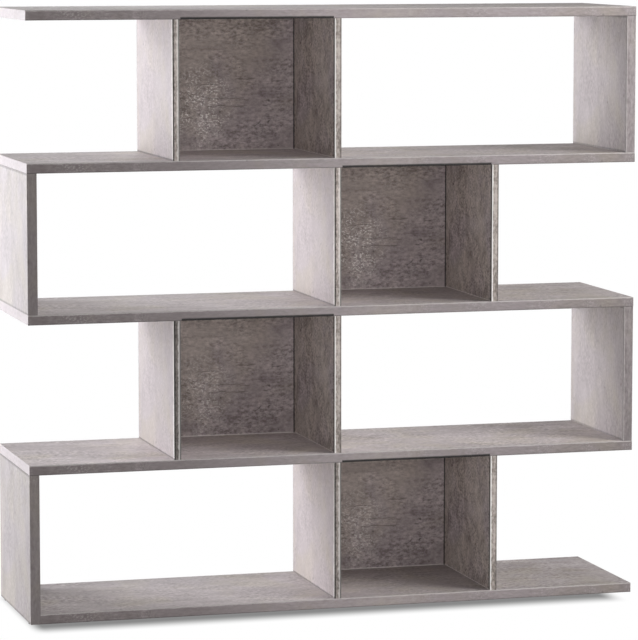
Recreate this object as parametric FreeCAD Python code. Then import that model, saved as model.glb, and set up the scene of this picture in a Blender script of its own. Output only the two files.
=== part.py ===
import FreeCAD, Part
import os

# Modular bookcase: five shelves, and between them four rows of upright boards that change sides
# from row to row. Millimetres, +Z up, +Y towards the wall, origin on the floor under the middle.

# Overall sizes
width = 1600.0            # across the free ends of the shelves
depth = 400.0             # from the front edge to the back edge
clear_height = 352.0      # inside a row, from shelf to shelf
cube_width = 402.0        # inside the closed cube of each row, between its two dividers

# Board thicknesses
shelf_board = 25.0
end_board = 25.0
divider_board = 18.0
back_board = 18.0

# Edging strips, glued on every edge that shows
edging = 2.0
edging_round = 1.6        # eased long corners of a strip
edging_round_share = 0.9  # most of a strip's thickness that the easing may take

# Play round every fitting in its hole, on the radius, and at the blind end of a hole
hole_play = 0.1
end_play = 0.5

# Cam bolt, screwed into one board with its head held by a cam in the other
bolt_thread_diameter = 5.0
bolt_thread_length = 10.5
bolt_shank_diameter = 7.0
bolt_neck_diameter = 4.0
bolt_head_diameter = 6.4
bolt_head_length = 3.0
bolt_reach = 34.0         # from the joint to the middle of the head
bolt_setback = 60.0       # from the front and back edges to the bolts

# Cam that draws the bolt in
cam_diameter = 15.0
cam_height = 13.2
cam_axis_depth = 9.0      # from the board's face to the bolt's axis
cam_grip_play = 0.2       # between the bolt and the walls of the cam
driver_slot_length = 8.0
driver_slot_width = 1.4
driver_slot_depth = 3.0

# Cover cap stuck over each cam
cap_diameter = 19.0
cap_thickness = 0.6

# Wooden dowels
dowel_diameter = 8.0
dowel_length = 30.0
dowel_in_face = 11.0      # part of its length that sits in the face of a board
dowel_setback = 92.0      # from the front and back edges to the dowels
back_dowel_inset = 80.0   # from the shelves to the dowels of a back panel

# Nail-on floor glides
glide_diameter = 22.0
glide_height = 5.0
glide_round = 1.2
glide_setback = 40.0      # from the front, back and free right edges
nail_diameter = 2.5
nail_length = 16.0
nail_head_diameter = 7.0
nail_head_height = 1.5
nail_sink = 1.0           # head below the sole of the glide

# Extra length of a drill past the face it starts from
overrun = 1.0

# Sizes that follow from the ones above
half_width = width / 2
front = -depth / 2
back = depth / 2
row_pitch = clear_height + shelf_board
cube_near = divider_board / 2
cube_far = cube_near + cube_width

X = FreeCAD.Vector(1, 0, 0)
Y = FreeCAD.Vector(0, 1, 0)
Z = FreeCAD.Vector(0, 0, 1)

shelf_names = ("top_shelf", "upper_shelf", "middle_shelf", "lower_shelf", "bottom_shelf")
row_count = len(shelf_names) - 1
shelf_bases = [glide_height + (row_count - level) * row_pitch for level in range(row_count + 1)]

nodes = {}
drillings = {}


def add(node, solid):
    """Puts one more solid in a node."""
    nodes.setdefault(node, []).append(solid)


def drill(node, mouth, way, diameter, length):
    """Notes a hole of a board: it is cut when the board is finished."""
    start = mouth - way * overrun
    drillings.setdefault(node, []).append(Part.makeCylinder(diameter / 2, length + overrun, start, way))


def placed(shape, origin, x_axis, z_axis):
    """A copy of a shape, with its own X and Z turned to the two given directions."""
    copy = shape.copy()
    turn = FreeCAD.Rotation(x_axis, z_axis.cross(x_axis), z_axis, "ZXY")
    copy.Placement = FreeCAD.Placement(origin, turn)
    return copy


def turned(profile):
    """Solid of revolution about Z, from the radius and height of each corner of a half section."""
    corners = [FreeCAD.Vector(radius, 0, height) for radius, height in profile]
    wire = Part.makePolygon(corners + corners[:1])
    return Part.Face(wire).revolve(FreeCAD.Vector(), Z, 360)


# Boards and their edging

def edging_strip(corner, along, across, outward, length, board):
    """One strip: a flat section with its two outer corners eased, carried along the edge of a board.
    The corner is where the strip starts on the raw edge, and across runs over the board's thickness."""
    def at(over, out):
        return corner + across * over + outward * out

    ease = min(edging_round, edging * edging_round_share)
    flat = edging - ease
    bend = ease * (1 - 0.5 ** 0.5)
    near_arc = Part.Arc(at(0, flat), at(bend, edging - bend), at(ease, edging))
    far_arc = Part.Arc(at(board - ease, edging), at(board - bend, edging - bend), at(board, flat))
    edges = [
        Part.makeLine(at(0, 0), at(0, flat)),
        near_arc.toShape(),
        Part.makeLine(at(ease, edging), at(board - ease, edging)),
        far_arc.toShape(),
        Part.makeLine(at(board, flat), at(board, 0)),
        Part.makeLine(at(board, 0), at(0, 0)),
    ]
    return Part.Face(Part.Wire(edges)).extrude(along * length)


def shelf(name, left, base, left_free):
    """Shelf with strips along its front and back, and on each end that is free."""
    core_left = left + edging if left_free else left
    core_right = half_width - edging
    core_depth = depth - 2 * edging
    length = half_width - left
    core_corner = FreeCAD.Vector(core_left, front + edging, base)
    front_start = FreeCAD.Vector(left, front + edging, base)
    back_start = FreeCAD.Vector(left, back - edging, base)
    right_start = FreeCAD.Vector(core_right, front + edging, base)
    long_strips = name + "_long_edging"
    end_strips = name + "_end_edging"
    add(name, Part.makeBox(core_right - core_left, core_depth, shelf_board, core_corner))
    add(long_strips, edging_strip(front_start, X, Z, -Y, length, shelf_board))
    add(long_strips, edging_strip(back_start, X, Z, Y, length, shelf_board))
    add(end_strips, edging_strip(right_start, Y, Z, X, core_depth, shelf_board))
    if left_free:
        add(end_strips, edging_strip(core_corner, Y, Z, -X, core_depth, shelf_board))


def upright(name, left, board, base, height):
    """Upright board, as deep as the shelves, with strips on its front and back edges."""
    core_depth = depth - 2 * edging
    add(name, Part.makeBox(board, core_depth, height, FreeCAD.Vector(left, front + edging, base)))
    strips = name + "_edging"
    add(strips, edging_strip(FreeCAD.Vector(left, front + edging, base), Z, X, -Y, height, board))
    add(strips, edging_strip(FreeCAD.Vector(left, back - edging, base), Z, X, Y, height, board))


# Fittings, each modelled once about its own origin

def cam_bolt():
    """Bolt on Z, from its thread at the bottom, past the joint at zero, to its head at the reach."""
    shank_top = bolt_reach - cam_diameter / 2
    head_base = bolt_reach - bolt_head_length / 2
    head_top = head_base + bolt_head_length
    return turned([
        (0, -bolt_thread_length),
        (bolt_thread_diameter / 2, -bolt_thread_length),
        (bolt_thread_diameter / 2, 0),
        (bolt_shank_diameter / 2, 0),
        (bolt_shank_diameter / 2, shank_top),
        (bolt_neck_diameter / 2, shank_top),
        (bolt_neck_diameter / 2, head_base),
        (bolt_head_diameter / 2, head_base),
        (bolt_head_diameter / 2, head_top),
        (0, head_top),
    ])


def cam_lock():
    """Cam drum on Z with its face at zero. The bolt comes in along +X and its head lies on the axis.
    A mouth for the head opens on the far side, and a groove for the neck runs half way round from it,
    so that a half turn brings the drum's walls behind the head."""
    radius = cam_diameter / 2 - hole_play
    drum = Part.makeCylinder(radius, cam_height, -Z * cam_height)
    head_gap = bolt_head_diameter + 2 * cam_grip_play
    neck_gap = bolt_neck_diameter + 2 * cam_grip_play
    grip = -bolt_head_length / 2 - cam_grip_play
    head_low = -cam_axis_depth - head_gap / 2
    neck_low = -cam_axis_depth - neck_gap / 2
    past_rim = radius + overrun
    mouth_corner = FreeCAD.Vector(grip, -head_gap / 2, head_low)
    mouth = Part.makeBox(past_rim - grip, head_gap, head_gap, mouth_corner)
    neck_corner = FreeCAD.Vector(-past_rim, -neck_gap / 2, neck_low)
    neck_slot = Part.makeBox(past_rim, neck_gap, neck_gap, neck_corner)
    groove = Part.makeCylinder(past_rim, neck_gap, Z * neck_low, Z, 180)
    slot_corner = FreeCAD.Vector(-driver_slot_length / 2, -driver_slot_width / 2, -driver_slot_depth)
    slot = Part.makeBox(driver_slot_length, driver_slot_width, driver_slot_depth + overrun, slot_corner)
    cross_slot = slot.copy()
    cross_slot.rotate(FreeCAD.Vector(), Z, 90)
    return drum.cut([mouth, neck_slot, groove, slot, cross_slot])


def glide():
    """Round plastic foot on Z with its top at zero, eased at the sole and sunk for the nail's head."""
    radius = glide_diameter / 2
    sole = -glide_height
    foot = Part.makeCylinder(radius, glide_height, Z * sole)
    sole_rim = [edge for edge in foot.Edges if edge.BoundBox.ZMax < sole / 2]
    foot = foot.makeChamfer(glide_round, sole_rim)
    seat = sole + nail_sink + nail_head_height
    sink_radius = nail_head_diameter / 2 + hole_play
    sink = Part.makeCylinder(sink_radius, seat - sole + overrun, Z * (sole - overrun))
    nail_hole = Part.makeCylinder(nail_diameter / 2 + hole_play, glide_height, Z * seat)
    return foot.cut([sink, nail_hole])


def glide_nail():
    """Nail on Z, with its flat head up against the seat in the glide and its point in the board."""
    head_top = nail_sink + nail_head_height - glide_height
    return turned([
        (0, head_top - nail_head_height),
        (nail_head_diameter / 2, head_top - nail_head_height),
        (nail_head_diameter / 2, head_top),
        (nail_diameter / 2, head_top),
        (nail_diameter / 2, head_top + nail_length - nail_diameter),
        (0, head_top + nail_length),
    ])


bolt_shape = cam_bolt()
cam_shape = cam_lock()
cap_shape = Part.makeCylinder(cap_diameter / 2, cap_thickness)
dowel_shape = Part.makeCylinder(dowel_diameter / 2, dowel_length, -Z * dowel_in_face)
glide_shape = glide()
nail_shape = glide_nail()


def cam_joint(bolt_board, cam_board, seat, inward, cam_face):
    """Cam connection at a point of the joint. Inward runs from the joint into the board that holds the cam,
    and cam_face is the way that the cam's pocket opens."""
    cam_mouth = seat + inward * bolt_reach + cam_face * cam_axis_depth
    drill(bolt_board, seat, -inward, bolt_thread_diameter + 2 * hole_play, bolt_thread_length + end_play)
    drill(cam_board, seat, inward, bolt_shank_diameter + 2 * hole_play, bolt_reach)
    drill(cam_board, cam_mouth, -cam_face, cam_diameter, cam_height)
    add("cam_bolts", placed(bolt_shape, seat, cam_face, inward))
    add("cam_locks", placed(cam_shape, cam_mouth, inward, cam_face))
    add("cover_caps", placed(cap_shape, cam_mouth, inward, cam_face))


def dowel_joint(group, face_board, edge_board, seat, inward, side):
    """Dowel across a joint, part in the face of one board and part in the edge of the other."""
    hole = dowel_diameter + 2 * hole_play
    drill(face_board, seat, -inward, hole, dowel_in_face + end_play)
    drill(edge_board, seat, inward, hole, dowel_length - dowel_in_face + end_play)
    add(group, placed(dowel_shape, seat, side, inward))


def floor_glide(board, x, y):
    """Glide nailed under a board."""
    seat = FreeCAD.Vector(x, y, glide_height)
    reach = nail_sink + nail_head_height - glide_height + nail_length
    drill(board, seat, Z, nail_diameter + 2 * hole_play, reach + end_play)
    add("floor_glides", placed(glide_shape, seat, X, Z))
    add("glide_nails", placed(nail_shape, seat, X, Z))


# Shelves, rows and feet of this bookcase

class Row:
    """One row, counted from zero at the top. Its end panel stands on the right in the first row and
    changes sides from row to row, and its cube lies on the other side of the middle."""

    def __init__(self, index):
        self.label = "row_%d_" % (index + 1)
        self.above = shelf_names[index]
        self.below = shelf_names[index + 1]
        self.ceiling = shelf_bases[index]
        self.floor = shelf_bases[index + 1] + shelf_board
        self.end_on_right = index % 2 == 0
        self.is_lowest = index == row_count - 1
        self.end_name = self.label + ("right" if self.end_on_right else "left") + "_end_panel"
        self.centre_name = self.label + "centre_divider"
        self.outer_name = self.label + ("left" if self.end_on_right else "right") + "_divider"
        self.cube_left = -cube_far if self.end_on_right else cube_near


def edge_lines(setback):
    """The two lines of fittings that run along the front and the back edge."""
    return front + setback, back - setback


def fix_top(row, name, axis, cam_face):
    """Two cams that hold an upright under the shelf above it."""
    for y in edge_lines(bolt_setback):
        cam_joint(row.above, name, FreeCAD.Vector(axis, y, row.ceiling), -Z, cam_face)


def fix_foot(row, name, axis):
    """Two dowels that stand an upright on the shelf below it."""
    for y in edge_lines(dowel_setback):
        dowel_joint("shelf_dowels", row.below, name, FreeCAD.Vector(axis, y, row.floor), Z, X)


def end_panel(row):
    """End panel, with its cams on the inner face. The lowest one runs down past the bottom shelf."""
    left = half_width - end_board if row.end_on_right else -half_width
    inward = -X if row.end_on_right else X
    inner_face = left if row.end_on_right else left + end_board
    base = row.floor - shelf_board if row.is_lowest else row.floor
    upright(row.end_name, left, end_board, base, row.ceiling - base)
    fix_top(row, row.end_name, inner_face - inward.x * cam_axis_depth, inward)
    if row.is_lowest:
        corner_joint(row, inner_face, inward, base)
    else:
        fix_foot(row, row.end_name, left + end_board / 2)


def corner_joint(row, inner_face, inward, base):
    """Bottom shelf drawn up to the inner face of the lowest end panel, by cams in its underside."""
    for y in edge_lines(bolt_setback):
        cam_joint(row.end_name, row.below, FreeCAD.Vector(inner_face, y, base + cam_axis_depth), inward, -Z)
    for y in edge_lines(dowel_setback):
        seat = FreeCAD.Vector(inner_face, y, base + shelf_board / 2)
        dowel_joint("shelf_dowels", row.end_name, row.below, seat, inward, Z)


def dividers(row):
    """Centre divider and the divider at the outer side of the cube, with their cams on the right faces."""
    outer_left = -cube_far - divider_board if row.end_on_right else cube_far
    for name, left in ((row.centre_name, -cube_near), (row.outer_name, outer_left)):
        upright(name, left, divider_board, row.floor, clear_height)
        fix_top(row, name, left + divider_board - cam_axis_depth, X)
        fix_foot(row, name, left + divider_board / 2)


def back_panel(row):
    """Panel that closes the cube, flush with the back edges and dowelled to both of its dividers."""
    name = row.label + "back_panel"
    corner = FreeCAD.Vector(row.cube_left, back - back_board, row.floor)
    add(name, Part.makeBox(cube_width, back_board, clear_height, corner))
    left_wall = row.outer_name if row.end_on_right else row.centre_name
    right_wall = row.centre_name if row.end_on_right else row.outer_name
    y = back - back_board / 2
    for z in (row.floor + back_dowel_inset, row.ceiling - back_dowel_inset):
        left_seat = FreeCAD.Vector(row.cube_left, y, z)
        right_seat = FreeCAD.Vector(row.cube_left + cube_width, y, z)
        dowel_joint("back_panel_dowels", left_wall, name, left_seat, X, Y)
        dowel_joint("back_panel_dowels", right_wall, name, right_seat, -X, Y)


def floor_glides(row):
    """Glides under the lowest end panel, under the two dividers of its row and near the free end."""
    under_outer = cube_far + divider_board / 2
    for y in edge_lines(glide_setback):
        floor_glide(row.end_name, (end_board - width) / 2, y)
        for x in (0, under_outer, half_width - glide_setback):
            floor_glide(row.below, x, y)


rows = [Row(index) for index in range(row_count)]
lowest = rows[-1]

# The bottom shelf ends against the end panel that runs past it
for name, base in zip(shelf_names, shelf_bases):
    is_full = name != lowest.below
    shelf(name, -half_width if is_full else end_board - half_width, base, is_full)

for row in rows:
    end_panel(row)
    dividers(row)
    back_panel(row)
floor_glides(lowest)

os.makedirs("parts", exist_ok=True)
for node, solids in nodes.items():
    if node in drillings:
        solids = [solid.cut(drillings[node]) for solid in solids]
    shape = solids[0] if len(solids) == 1 else Part.makeCompound(solids)
    shape.exportStep("parts/%s.step" % node)
    print(node, len(solids), round(shape.Volume), shape.isValid())
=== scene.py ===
import math
from typing import NamedTuple

import bpy
import numpy as np
from bpy.props import FloatProperty, FloatVectorProperty, IntProperty, PointerProperty
from mathutils import Euler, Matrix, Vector


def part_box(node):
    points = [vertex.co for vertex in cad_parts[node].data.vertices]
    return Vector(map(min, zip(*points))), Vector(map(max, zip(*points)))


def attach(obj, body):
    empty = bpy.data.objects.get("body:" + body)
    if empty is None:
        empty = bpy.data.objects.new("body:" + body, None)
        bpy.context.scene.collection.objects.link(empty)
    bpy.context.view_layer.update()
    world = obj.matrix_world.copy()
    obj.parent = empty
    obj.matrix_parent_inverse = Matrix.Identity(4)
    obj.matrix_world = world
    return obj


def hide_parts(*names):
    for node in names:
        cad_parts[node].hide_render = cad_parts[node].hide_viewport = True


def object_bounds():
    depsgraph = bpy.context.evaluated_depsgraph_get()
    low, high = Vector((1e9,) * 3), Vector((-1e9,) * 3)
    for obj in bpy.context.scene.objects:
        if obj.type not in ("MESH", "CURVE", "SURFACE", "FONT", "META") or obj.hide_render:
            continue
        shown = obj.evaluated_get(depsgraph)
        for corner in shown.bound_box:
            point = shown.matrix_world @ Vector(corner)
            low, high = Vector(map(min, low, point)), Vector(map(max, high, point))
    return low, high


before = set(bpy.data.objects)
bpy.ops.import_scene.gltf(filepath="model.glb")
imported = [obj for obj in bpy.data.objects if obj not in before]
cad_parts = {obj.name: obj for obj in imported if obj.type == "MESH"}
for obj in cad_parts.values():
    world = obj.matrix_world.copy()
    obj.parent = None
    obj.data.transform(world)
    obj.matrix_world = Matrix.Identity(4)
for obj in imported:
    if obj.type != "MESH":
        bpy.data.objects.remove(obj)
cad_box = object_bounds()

# Dresses the packed modular bookcase: concrete-effect laminate on the boards, edging strips in the
# same print, turned fittings, and a plain studio. Metres, in the frame of the packed model: +X to
# the right, +Y towards the wall, +Z up, origin on the floor under the middle.

bl_info = {
    "name": "Modular Bookcase",
    "version": (1, 0, 0),
    "blender": (4, 5, 0),
    "location": "3D View > Sidebar > Bookcase",
    "description": "Finishes, fittings and studio of a modular bookcase in concrete-effect laminate",
    "category": "Object",
}

BODY = "root"
SHELVES = [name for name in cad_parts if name.endswith("_shelf")]
LEFT_ENDS = [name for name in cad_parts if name.endswith("_left_end_panel")]
RIGHT_ENDS = [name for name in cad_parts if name.endswith("_right_end_panel")]
# Dividers whose left face is lit, and those whose left face is a shaded cube wall; each set takes its
# own copy of the print: painted light and shade.
LIT_DIVIDERS = (
    "row_1_left_divider", "row_2_centre_divider", "row_3_left_divider", "row_4_centre_divider")
CUBE_DIVIDERS = (
    "row_1_centre_divider", "row_2_right_divider", "row_3_centre_divider", "row_4_right_divider")
UPPER_BACKS = ("row_1_back_panel", "row_2_back_panel")
LOWER_BACKS = ("row_3_back_panel", "row_4_back_panel")
OWN_PLACE = "own_place"
WHITE = (1.0, 1.0, 1.0, 1.0)
QUARTER_TURN = math.pi / 2

# Where each side of a board stands in its box: low or high corner, then axis. A side without a line
# is put far off.
SIDES = {
    "left": (0, 0), "right": (1, 0), "front": (0, 1), "back": (1, 1), "foot": (0, 2), "head": (1, 2)}
FAR_OFF = 10.0

# How uneven the pale lines (painted highlights) and the dark joint lines (partly painted shade) are, and
# the relief of the surfaces.
HIGHLIGHT_UNEVEN = 1.2
JOINT_SHADE_UNEVEN = 0.2
PRESSED_STRENGTH = 0.5
FINE_STRENGTH = 0.4
FINE_RELIEF = 0.0001

# Sharper edges than these stay sharp on the turned fittings.
BOLT_CREASE = math.radians(35.0)
CAP_CREASE = math.radians(50.0)
DOWEL_CREASE = math.radians(40.0)

# Offset between the grain of one fitting and the next.
GRAIN_STEP = (0.031, 0.017, 0.0)


class PrintLook(NamedTuple):
    """Tone and tint of the concrete print on one kind of board, how strongly each layer shows on it,
    how its tone and warmth change in a metre, how long its grain is (a lower draw is longer), which
    of its sides have a dark joint line or a pale worn line, how dark the line is that shades it over
    a cube, and whether it runs up the board."""

    tone: float = 1.0
    tint: tuple = (1.0, 1.0, 1.0)
    clouds: float = 0.4
    mottle: float = 1.0
    grain: float = 1.0
    light_bands: float = 0.0
    light_band_middle: float = 0.0
    slope: tuple = (0.0, 0.0, 0.0)
    pits: float = 0.4
    scuffs: float = 0.15
    marks: float = 0.0
    flecks: float = 0.0
    joint: float = 0.0
    joint_width: float = 0.003
    joint_sides: tuple = ()
    shade: float = 0.0
    shade_width: float = 0.0075
    wear: float = 0.0
    wear_width: float = 0.0035
    worn_sides: tuple = ()
    warmth: float = 0.0
    warm_slope: tuple = (0.0, 0.0, 0.0)
    draw: float = 0.6
    upright: bool = False


NEUTRAL, ROSY, RUDDY = (0.975, 1.0, 0.993), (0.985, 0.996, 0.993), (1.0, 0.985, 0.99)
# The looks' tones, light bands and slopes are painted light and shade: each kind of board, such as the
# lit divider faces and the shaded cube walls, or the lit shelf ends and the dim shelf fronts, gets its
# own lighter or darker copy of the print.
SHELF_PRINT = PrintLook(
    tint=NEUTRAL, mottle=1.1, grain=1.7, light_bands=0.2, light_band_middle=-0.15, warmth=-0.06, draw=0.5)
END_PRINT = PrintLook(
    tint=NEUTRAL, clouds=0.25, mottle=0.7, grain=0.8, slope=(0.0, 0.35, 0.0), joint=0.35,
    joint_width=0.0065, joint_sides=("front", "foot", "head"), warmth=-0.02, draw=0.5, upright=True)
RIGHT_END_PRINT = END_PRINT._replace(slope=(0.0, 0.7, 0.0), warmth=-0.06)
LIT_PRINT = PrintLook(
    tone=1.035, tint=ROSY, clouds=0.25, mottle=0.45, grain=0.7, wear=0.7, wear_width=0.014,
    worn_sides=("front",), joint=0.5, joint_width=0.005, joint_sides=("foot",), warmth=-0.06, draw=0.85,
    upright=True)
WALL_PRINT = PrintLook(
    tone=1.08, mottle=2.6, grain=2.4, pits=0.7, scuffs=0.6, joint=0.9, joint_width=0.014,
    joint_sides=("front",), wear=0.6, worn_sides=("foot",), warmth=0.06, draw=1.1, upright=True)
BACK_PRINT = PrintLook(
    tint=RUDDY, mottle=1.4, grain=1.9, pits=0.6, scuffs=0.3, marks=0.6, flecks=1.0, joint=0.9,
    joint_width=0.0045, joint_sides=("left", "right"), wear=0.4, worn_sides=("foot",), warmth=0.075,
    warm_slope=(-0.8, 0.0, 0.6), draw=0.6)
LOWER_BACK_PRINT = BACK_PRINT._replace(slope=(0.0, 0.0, 0.7), flecks=0.5, wear=0.6)
SHELF_EDGE_PRINT = PrintLook(
    tone=0.55, mottle=0.5, grain=0.7, light_bands=0.28, light_band_middle=0.07, slope=(0.13, 0.0, 0.0), joint=0.3,
    joint_sides=("foot",), shade=1.0, wear=0.28, worn_sides=("head",), warmth=-0.06, draw=0.32)
SHELF_END_PRINT = PrintLook(
    tone=1.17, tint=NEUTRAL, clouds=0.2, mottle=0.4, grain=0.6, warmth=-0.2)
LEFT_END_EDGE_PRINT = PrintLook(tone=0.40, mottle=0.6, grain=0.8, draw=0.35, upright=True)
RIGHT_END_EDGE_PRINT = PrintLook(
    tone=0.49, grain=1.2, wear=0.2, worn_sides=("left",), warmth=-0.1, draw=0.35, upright=True)
LIT_EDGE_PRINT = PrintLook(
    tone=0.66, mottle=2.6, grain=2.6, pits=0.9, scuffs=0.5, joint=0.8, joint_width=0.005,
    joint_sides=("left", "right"), wear=0.5, wear_width=0.0095, worn_sides=("right",), warmth=0.26,
    draw=0.5, upright=True)
WALL_EDGE_PRINT = LIT_EDGE_PRINT._replace(
    tone=0.74, joint=0.5, joint_sides=("right",), wear=1.0, wear_width=0.004, worn_sides=("left",))
CAP_PRINT = END_PRINT._replace(slope=(0.0, 0.0, 0.0), joint=0.0)

# How light a board's face and edging are next to others of their kind: painted light and shade for how
# light falls on each board.
FACE_PAINTED_LIGHT = {
    "top_shelf": 1.15, "upper_shelf": 1.11, "middle_shelf": 1.07, "lower_shelf": 1.27,
    "bottom_shelf": 0.96, "row_3_right_end_panel": 1.04, "row_4_left_end_panel": 0.86,
    "row_1_left_divider": 1.05, "row_2_centre_divider": 1.1, "row_4_centre_divider": 1.18}
EDGE_PAINTED_LIGHT = {
    "top_shelf": 1.15, "middle_shelf": 0.98, "bottom_shelf": 1.12, "row_1_left_divider": 1.22,
    "row_1_centre_divider": 1.15, "row_2_centre_divider": 1.4, "row_3_left_divider": 0.42,
    "row_3_centre_divider": 1.13, "row_4_centre_divider": 0.92, "row_4_right_divider": 1.08,
    "row_2_left_end_panel": 0.92, "row_1_right_end_panel": 1.1, "row_3_right_end_panel": 0.95}


class Mark(NamedTuple):
    """A dark mark in the print of the back panels: its middle, to the right of and above the middle
    of the panel, half its length, half its width, and its rise to the right."""

    right: float
    up: float
    half_length: float
    half_width: float
    slope: float


# Marks of the back panels' print, and the spot on their inner face where it is flecked.
MARKS = (
    Mark(-0.037, -0.005, 0.032, 0.0022, 0.02),
    Mark(0.067, 0.010, 0.033, 0.0022, 0.0),
    Mark(0.156, 0.003, 0.022, 0.0022, 0.03),
    Mark(0.016, -0.041, 0.050, 0.0018, 0.0),
    Mark(0.018, -0.061, 0.070, 0.0018, -0.01),
    Mark(0.121, -0.060, 0.007, 0.0034, 0.0),
    Mark(0.100, -0.109, 0.012, 0.0034, 0.8),
)
FLECK_SPOT = (-0.05, -0.009, -0.06)
FLECK_REACH = (0.11, 0.012, 0.14)


class MetalLook(NamedTuple):
    """Colour and roughness of a metal, how far each spreads about its value, and how many blotches
    it has in a metre."""

    color: tuple
    color_spread: float
    roughness: float
    roughness_spread: float
    scale: float


CAST_ZINC = MetalLook((0.5, 0.5, 0.51), 0.2, 0.46, 0.12, 300.0)
ZINC_PLATE = MetalLook((0.66, 0.67, 0.69), 0.12, 0.3, 0.08, 220.0)
NAIL_PLATE = MetalLook((0.62, 0.63, 0.65), 0.15, 0.34, 0.1, 400.0)
GLIDE_LIGHT, GLIDE_DARK, GLIDE_ROUGHNESS = (0.1, 0.095, 0.09), (0.06, 0.056, 0.052), 0.45


# Settings

class LaminateSettings(bpy.types.PropertyGroup):
    """Colours and finish of the boards and their edging."""

    light: FloatVectorProperty(
        name="Light tone", description="Palest tone of the concrete print",
        subtype="COLOR", min=0.0, max=1.0, default=(0.64, 0.572, 0.562))
    dark: FloatVectorProperty(
        name="Dark tone", description="Darkest tone of the concrete print",
        subtype="COLOR", min=0.0, max=1.0, default=(0.25, 0.215, 0.206))
    warm: FloatVectorProperty(
        name="Warm tint", description="Tint of the brownish patches",
        subtype="COLOR", min=0.0, max=1.0, default=(1.0, 0.985, 0.925))
    cool: FloatVectorProperty(
        name="Cool tint", description="Tint of the violet-grey patches",
        subtype="COLOR", min=0.0, max=1.0, default=(0.98, 0.965, 1.0))
    pit: FloatVectorProperty(
        name="Pit colour", description="Colour in pits and trowel marks",
        subtype="COLOR", min=0.0, max=1.0, default=(0.085, 0.075, 0.07))
    # Colour of the dark joint lines, which are partly painted shade in the gap or corner beside them,
    # and of the painted shade line over each cube.
    gap: FloatVectorProperty(
        name="Gap colour", description="Colour of the dark lines along joints and over cubes",
        subtype="COLOR", min=0.0, max=1.0, default=(0.008, 0.007, 0.0065))
    scuff: FloatVectorProperty(
        name="Scuff colour", description="Colour of scuffs and flecks",
        subtype="COLOR", min=0.0, max=1.0, default=(0.76, 0.72, 0.69))
    # Colour of the pale flecks of the print, and of the painted highlight along the edges that catch the
    # light.
    worn: FloatVectorProperty(
        name="Worn colour", description="Colour of the pale line along a worn edge",
        subtype="COLOR", min=0.0, max=1.0, default=(0.94, 0.9, 0.87))
    smooth: FloatProperty(
        name="Smooth", description="Roughness of the palest print",
        subtype="FACTOR", min=0.0, max=1.0, default=0.52)
    rough: FloatProperty(
        name="Rough", description="Roughness of the darkest print",
        subtype="FACTOR", min=0.0, max=1.0, default=0.68)
    gloss: FloatProperty(
        name="Gloss", description="Strength of the sheen on the melamine",
        subtype="FACTOR", min=0.0, max=1.0, default=0.3)
    relief: FloatProperty(
        name="Relief", description="Depth of the pressed surface texture",
        unit="LENGTH", min=0.0, default=0.0003)


class FittingSettings(bpy.types.PropertyGroup):
    """Sizes of the turned fittings that the frame's boxes do not give."""

    cap_rim: FloatProperty(
        name="Cap rim", description="Height of a cover cap's straight rim",
        unit="LENGTH", default=0.00025)
    bolt_head_diameter: FloatProperty(
        name="Bolt head", description="Diameter of the head that a cam grips",
        unit="LENGTH", default=0.0064)
    bolt_head_length: FloatProperty(
        name="Head length", description="Length of the bolt's head",
        unit="LENGTH", default=0.003)
    bolt_neck_diameter: FloatProperty(
        name="Bolt neck", description="Diameter of the neck in the cam's mouth",
        unit="LENGTH", default=0.004)
    bolt_neck_length: FloatProperty(
        name="Neck length", description="Length of the bolt's neck",
        unit="LENGTH", default=0.006)
    thread_diameter: FloatProperty(
        name="Thread", description="Diameter over the thread",
        unit="LENGTH", default=0.005)
    thread_length: FloatProperty(
        name="Thread length", description="Length of the thread",
        unit="LENGTH", default=0.0105)
    thread_pitch: FloatProperty(
        name="Pitch", description="Rise of the thread in one turn",
        unit="LENGTH", default=0.0018)
    thread_depth: FloatProperty(
        name="Thread depth", description="Depth of the thread",
        unit="LENGTH", default=0.0007)
    flute_count: IntProperty(
        name="Flutes", description="Number of glue flutes round a dowel", default=12)
    flute_depth: FloatProperty(
        name="Flute depth", description="Depth of a dowel's flutes",
        unit="LENGTH", default=0.0004)
    dowel_chamfer: FloatProperty(
        name="Dowel chamfer", description="Bevel at both ends of a dowel",
        unit="LENGTH", default=0.0015)


class StudioSettings(bpy.types.PropertyGroup):
    """Camera, lamps and floor."""

    camera_place: FloatVectorProperty(
        name="Camera", description="Where the camera stands",
        subtype="TRANSLATION", unit="LENGTH", default=(-2.470, -8.7036, 1.7499))
    camera_yaw: FloatProperty(
        name="Yaw", description="Turn of the camera to the right",
        subtype="ANGLE", default=0.2772)
    camera_dip: FloatProperty(
        name="Dip", description="Tilt of the camera below the horizon",
        subtype="ANGLE", default=0.1126)
    camera_lens: FloatProperty(
        name="Lens", description="Focal length of the camera",
        unit="CAMERA", default=197.25)
    side_power: FloatProperty(
        name="Side lamp", description="Power of the lamp to the left of the bookcase",
        unit="POWER", default=151.0)
    right_power: FloatProperty(
        name="Right lamp", description="Power of the lamp in front on the right",
        unit="POWER", default=57.0)
    left_power: FloatProperty(
        name="Left lamp", description="Power of the low lamp far in front on the left",
        unit="POWER", default=34.0)
    front_power: FloatProperty(
        name="Front lamp", description="Power of the lamp far in front on the right",
        unit="POWER", default=40.0)
    top_power: FloatProperty(
        name="Top lamp", description="Power of the lamp overhead",
        unit="POWER", default=13.0)
    middle_power: FloatProperty(
        name="Middle lamp", description="Power of the lamp far in front, beside the camera",
        unit="POWER", default=39.0)
    back_power: FloatProperty(
        name="Back lamp", description="Power of the high lamp behind the bookcase",
        unit="POWER", default=22.0)
    ambient: FloatProperty(
        name="Ambient", description="Strength of the even light from all round",
        min=0.0, default=0.05)
    floor_radius: FloatProperty(
        name="Floor", description="Radius of the floor",
        unit="LENGTH", default=60.0)


# Node trees

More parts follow.
